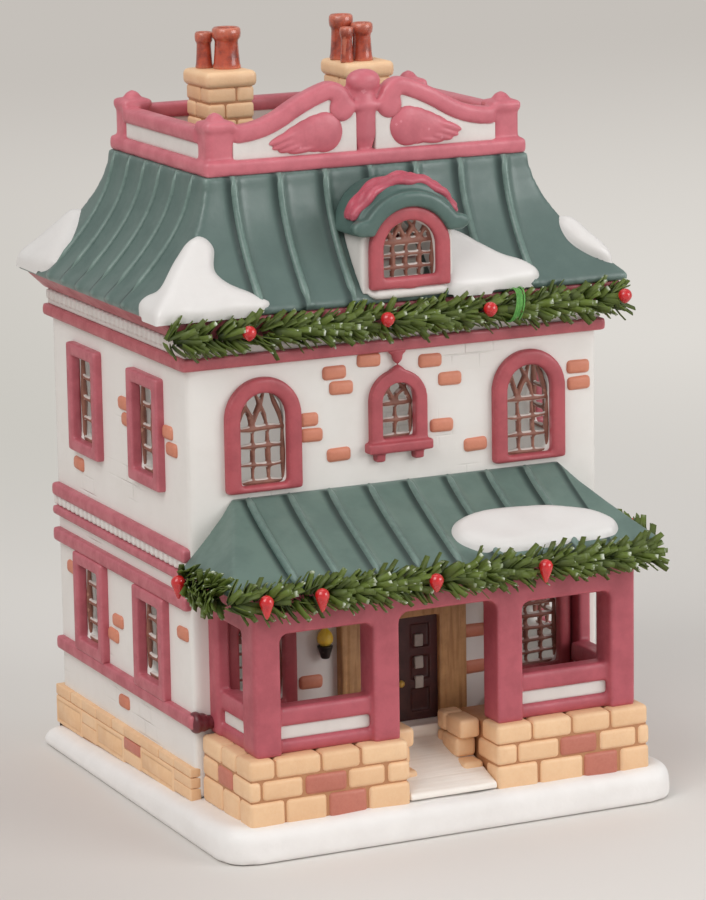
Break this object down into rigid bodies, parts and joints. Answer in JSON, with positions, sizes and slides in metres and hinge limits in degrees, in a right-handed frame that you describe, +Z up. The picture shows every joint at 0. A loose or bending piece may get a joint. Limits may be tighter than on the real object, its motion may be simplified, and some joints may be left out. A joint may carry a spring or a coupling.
{
  "type": "ceramic christmas village house",
  "caption": "Two-storey ceramic village house with a mansard roof, front porch, garlands with berries and a clip-in lamp at the rear that lights its windows.",
  "frame": {"origin": "centre of the base's flat underside", "axes": "+Z is up, the front with the porch faces -Y, and +X is to the right seen from the front"},
  "size_m": [0.1408, 0.1459, 0.205],
  "materials": {
    "snow_base": "matt white glaze, faintly mottled like packed snow",
    "white_wall": "matt off-white render",
    "red_trim": "satin brick-red paint over ceramic, rubbed at the edges",
    "parapet_red": "satin rose-red paint over ceramic",
    "roof_green": "satin grey-green paint over ceramic",
    "buff_stone": "matt buff paint over ceramic",
    "wall_brick": "matt terracotta paint over ceramic",
    "plinth_brick": "matt buff bricks with red-brown joints, a few red-brown bricks",
    "pot_clay": "glossy terracotta glaze",
    "lattice_brown": "matt brown paint over ceramic",
    "door_brown": "satin dark brown paint",
    "pilaster_tan": "satin tan paint, grained and fluted",
    "floor_grey": "matt pale plank floor",
    "ribbon_pink": "satin pink paint",
    "lantern_black": "satin black paint",
    "lantern_yellow": "satin yellow paint",
    "knob_gold": "satin gold paint",
    "roof_snow": "glossy white glaze",
    "garland_green": "matt green strips with frosted tips",
    "berry_red": "glossy red",
    "lamp_white": "moulded white plastic",
    "clip_steel": "bright spring steel",
    "bulb_clear": "clear glass",
    "bulb_brass": "bright brass screw cap"
  },
  "bodies": {
    "house": {"base_slab": "snow_base", "house_shell": "white_wall", "foundation_stones": "buff_stone", "cornice_band": "red_trim", "cornice_frieze": "white_wall", "cornice_fascia": "red_trim", "belt_bands": "red_trim", "belt_dentils": "white_wall", "arch_window_frames": "red_trim", "arch_window_lattices": "lattice_brown", "centre_window_frame": "red_trim", "centre_window_sill": "red_trim", "centre_window_lattice": "lattice_brown", "side_window_frames": "red_trim", "side_window_lattices": "lattice_brown", "ground_window_frames": "red_trim", "ground_window_lattices": "lattice_brown", "wall_bricks": "wall_brick", "front_door": "door_brown", "door_pilasters": "pilaster_tan", "door_lintel": "pilaster_tan", "door_knob": "knob_gold", "lantern_cups": "lantern_black", "lantern_glasses": "lantern_yellow", "left_porch_plinth": "plinth_brick", "right_porch_plinth": "plinth_brick", "porch_walk": "floor_grey", "porch_posts": "red_trim", "porch_rails": "red_trim", "porch_panels": "white_wall", "porch_beams": "red_trim", "porch_roof": "roof_green", "porch_roof_snow": "roof_snow", "mansard_roof": "roof_green", "dormer_body": "white_wall", "dormer_hood": "roof_green", "dormer_ribbon": "ribbon_pink", "dormer_window_frame": "red_trim", "dormer_window_lattice": "lattice_brown", "roof_snow": "roof_snow", "parapet_curb": "parapet_red", "parapet_panels": "white_wall", "parapet_rails": "parapet_red", "parapet_posts": "parapet_red", "parapet_scrolls": "parapet_red", "parapet_centre_post": "parapet_red", "parapet_leaves": "parapet_red", "left_chimney": "buff_stone", "right_chimney": "buff_stone", "chimney_pots": "pot_clay", "upper_garland": "garland_green", "lower_garland": "garland_green", "left_end_garland": "garland_green", "right_end_garland": "garland_green", "garland_berries": "berry_red"},
    "lamp": {"lamp_socket": "lamp_white", "lamp_clips": "clip_steel"},
    "bulb": {"bulb_base": "bulb_brass", "bulb_glass": "bulb_clear"}
  },
  "joints": [
    {"name": "lamp_pull", "type": "slide", "parent": "house", "child": "lamp", "axis": [0, 1, 0], "range_m": [0, 0.08]},
    {"name": "bulb_turn", "type": "hinge", "parent": "lamp", "child": "bulb", "pos_m": [0, 0.036, 0.037], "axis": [0, 1, 0], "continuous": true}
  ]
}
